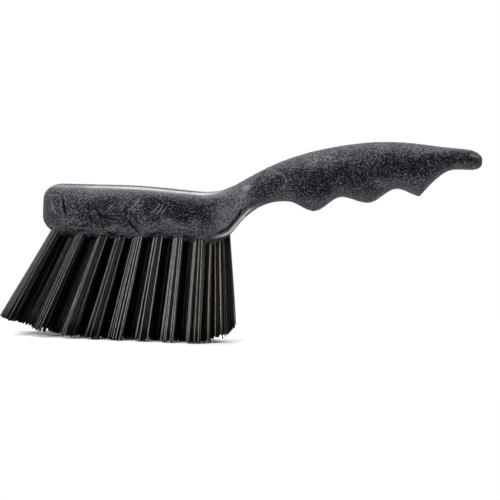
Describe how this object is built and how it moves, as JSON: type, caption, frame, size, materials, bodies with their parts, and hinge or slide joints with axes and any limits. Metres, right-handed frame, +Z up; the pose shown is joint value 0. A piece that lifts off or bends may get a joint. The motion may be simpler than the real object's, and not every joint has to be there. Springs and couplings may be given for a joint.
{
  "type": "wheel brush",
  "caption": "Short hand brush with a rounded block, stiff forward-fanned bristle tufts and a raised handle with finger grooves, for scrubbing wheels and fenders.",
  "frame": {"origin": "middle of the underside of the whole box, where the trimmed bristle tips rest", "axes": "+X along the brush from the nose of the block to the end of the handle, +Z up from the bristle tips to the back of the block"},
  "size_m": [0.2166, 0.0516, 0.0945],
  "materials": {
    "moulded_body": "moulded foamed polypropylene, dark slate with flow marks and a fine grain",
    "bristle": "stiff black polypropylene filament, satin",
    "staple_wire": "flat steel anchor wire"
  },
  "bodies": {
    "root": {"handle_block": "moulded_body", "tuft_left_1": "bristle", "tuft_right_1": "bristle", "tuft_left_2": "bristle", "tuft_right_2": "bristle", "tuft_left_3": "bristle", "tuft_right_3": "bristle", "tuft_left_4": "bristle", "tuft_right_4": "bristle", "tuft_left_5": "bristle", "tuft_right_5": "bristle", "tuft_left_6": "bristle", "tuft_right_6": "bristle", "tuft_left_7": "bristle", "tuft_right_7": "bristle", "tuft_left_8": "bristle", "tuft_right_8": "bristle", "tuft_middle_1": "bristle", "tuft_middle_2": "bristle", "tuft_middle_3": "bristle", "tuft_middle_4": "bristle", "tuft_middle_5": "bristle", "tuft_inner_left_1": "bristle", "tuft_inner_right_1": "bristle", "tuft_inner_left_2": "bristle", "tuft_inner_right_2": "bristle", "tuft_inner_left_3": "bristle", "tuft_inner_right_3": "bristle", "tuft_inner_left_4": "bristle", "tuft_inner_right_4": "bristle", "staple_left_1": "staple_wire", "staple_right_1": "staple_wire", "staple_left_2": "staple_wire", "staple_right_2": "staple_wire", "staple_left_3": "staple_wire", "staple_right_3": "staple_wire", "staple_left_4": "staple_wire", "staple_right_4": "staple_wire", "staple_left_5": "staple_wire", "staple_right_5": "staple_wire", "staple_left_6": "staple_wire", "staple_right_6": "staple_wire", "staple_left_7": "staple_wire", "staple_right_7": "staple_wire", "staple_left_8": "staple_wire", "staple_right_8": "staple_wire", "staple_middle_1": "staple_wire", "staple_middle_2": "staple_wire", "staple_middle_3": "staple_wire", "staple_middle_4": "staple_wire", "staple_middle_5": "staple_wire", "staple_inner_left_1": "staple_wire", "staple_inner_right_1": "staple_wire", "staple_inner_left_2": "staple_wire", "staple_inner_right_2": "staple_wire", "staple_inner_left_3": "staple_wire", "staple_inner_right_3": "staple_wire", "staple_inner_left_4": "staple_wire", "staple_inner_right_4": "staple_wire"}
  },
  "joints": []
}
